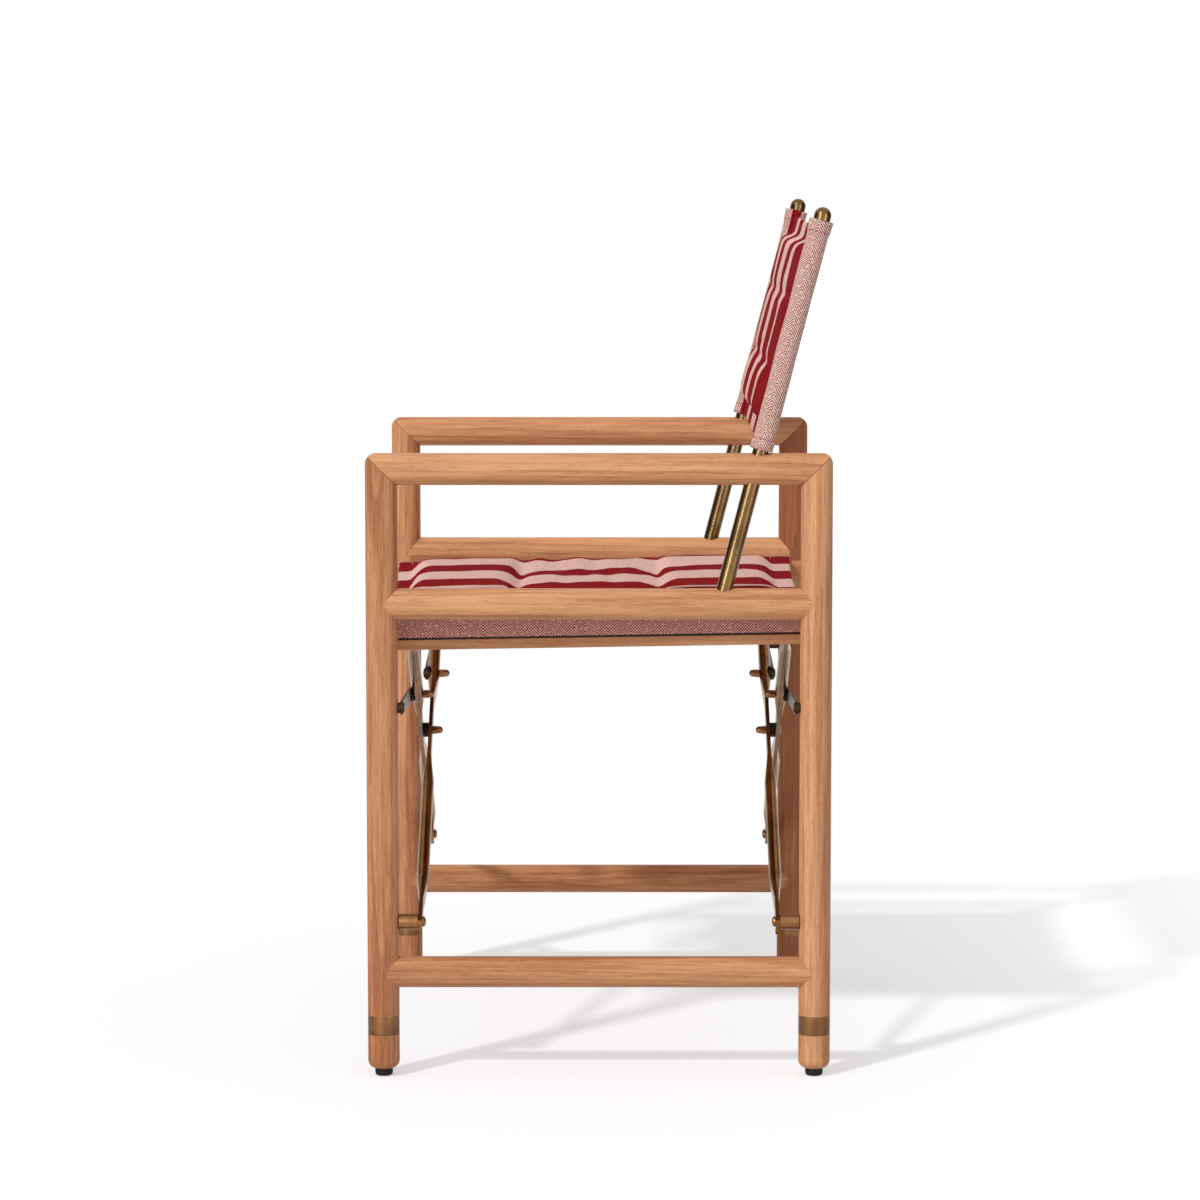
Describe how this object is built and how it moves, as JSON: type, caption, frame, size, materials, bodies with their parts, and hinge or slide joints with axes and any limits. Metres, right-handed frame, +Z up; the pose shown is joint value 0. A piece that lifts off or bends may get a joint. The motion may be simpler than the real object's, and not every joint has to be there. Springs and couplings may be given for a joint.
{
  "type": "folding director's chair",
  "caption": "Folding director's chair with round timber side frames, raked brass back posts, brass scissor bars with links, and a quilted striped seat and back.",
  "frame": {"origin": "on the floor, under the middle of the chair", "axes": "+Z up, the sitter faces -Y, +X is the sitter's left"},
  "size_m": [0.58, 0.4676, 0.876],
  "materials": {
    "teak": "oiled teak, fine straight grain",
    "dull_brass": "aged brass, satin",
    "post_brass": "antiqued brass tube, polished",
    "bar_brass": "bronzed brass, glossy",
    "bright_brass": "brass hardware, satin",
    "black_plastic": "black, matt",
    "striped_cloth": "woven cloth in red and pink stripes",
    "herringbone_cloth": "pink and maroon herringbone weave"
  },
  "bodies": {
    "left_frame": {"left_front_leg": "teak", "left_rear_leg": "teak", "left_armrest": "teak", "left_side_rail": "teak", "left_stretcher": "teak", "left_ferrules": "dull_brass", "left_glides": "black_plastic", "left_pivot_bosses": "bright_brass", "left_pivot_bolts": "bright_brass", "left_link_standoffs": "bright_brass", "left_link_screws": "bright_brass", "left_back_post": "post_brass", "left_post_cap": "post_brass", "left_back_sleeve": "herringbone_cloth", "back_panel": "striped_cloth"},
    "right_frame": {"right_front_leg": "teak", "right_rear_leg": "teak", "right_armrest": "teak", "right_side_rail": "teak", "right_stretcher": "teak", "right_ferrules": "dull_brass", "right_glides": "black_plastic", "right_pivot_bosses": "bright_brass", "right_pivot_bolts": "bright_brass", "right_link_standoffs": "bright_brass", "right_link_screws": "bright_brass", "right_back_post": "post_brass", "right_post_cap": "post_brass", "right_back_sleeve": "herringbone_cloth"},
    "cross_a": {"front_bar_left_foot": "bar_brass", "rear_bar_left_foot": "bar_brass", "crossing_bolts": "bright_brass", "crossing_spacers": "black_plastic", "crossing_nuts": "bright_brass", "left_bar_bolts": "bright_brass", "left_bar_spacers": "black_plastic", "left_bar_nuts": "bright_brass"},
    "cross_b": {"front_bar_right_foot": "bar_brass", "rear_bar_right_foot": "bar_brass", "right_bar_bolts": "bright_brass", "right_bar_spacers": "black_plastic", "right_bar_nuts": "bright_brass"},
    "left_rail": {"left_seat_rail": "teak", "left_rail_pins": "bright_brass", "left_seat_spline": "black_plastic", "left_seat_sleeve": "herringbone_cloth", "seat_panel": "striped_cloth"},
    "left_link_pair": {"left_links": "bright_brass", "left_link_rivets": "bright_brass"},
    "right_rail": {"right_seat_rail": "teak", "right_rail_pins": "bright_brass", "right_seat_spline": "black_plastic", "right_seat_sleeve": "herringbone_cloth"},
    "right_link_pair": {"right_links": "bright_brass", "right_link_rivets": "bright_brass"}
  },
  "joints": [
    {"name": "fold", "type": "hinge", "parent": "left_frame", "child": "cross_a", "pos_m": [0.274, 0, 0.1575], "axis": [0, 1, 0], "range_deg": [0, 38.39], "deforming": ["seat_panel", "back_panel", "left_back_sleeve", "right_back_sleeve"]},
    {"name": "crossing", "type": "hinge", "parent": "cross_a", "child": "cross_b", "pos_m": [0, 0, 0.3147], "axis": [0, 1, 0], "range_deg": [-76.8, 0]},
    {"name": "right_foot", "type": "hinge", "parent": "cross_b", "child": "right_frame", "pos_m": [-0.274, 0, 0.1575], "axis": [0, 1, 0], "range_deg": [0, 38.41]},
    {"name": "right_rail_hinge", "type": "hinge", "parent": "cross_a", "child": "right_rail", "pos_m": [-0.2237, 0, 0.44304], "axis": [0, 1, 0], "range_deg": [-38.41, 0]},
    {"name": "left_rail_hinge", "type": "hinge", "parent": "cross_b", "child": "left_rail", "pos_m": [0.2237, 0, 0.44304], "axis": [0, 1, 0], "range_deg": [0, 38.41]},
    {"name": "left_link_hinge", "type": "hinge", "parent": "left_frame", "child": "left_link_pair", "pos_m": [0.274, 0, 0.375], "axis": [0, 1, 0], "range_deg": [0, 67.9]},
    {"name": "right_link_hinge", "type": "hinge", "parent": "right_frame", "child": "right_link_pair", "pos_m": [-0.274, 0, 0.375], "axis": [0, 1, 0], "range_deg": [-67.9, 0]}
  ],
  "couplings": [
    {"joint": "crossing", "follows": "fold", "ratio": -2},
    {"joint": "right_foot", "follows": "fold", "ratio": 1},
    {"joint": "right_rail_hinge", "follows": "fold", "ratio": -1},
    {"joint": "left_rail_hinge", "follows": "fold", "ratio": 1},
    {"joint": "left_link_hinge", "follows": "fold", "ratio": 1.7682},
    {"joint": "right_link_hinge", "follows": "fold", "ratio": -1.7682}
  ]
}
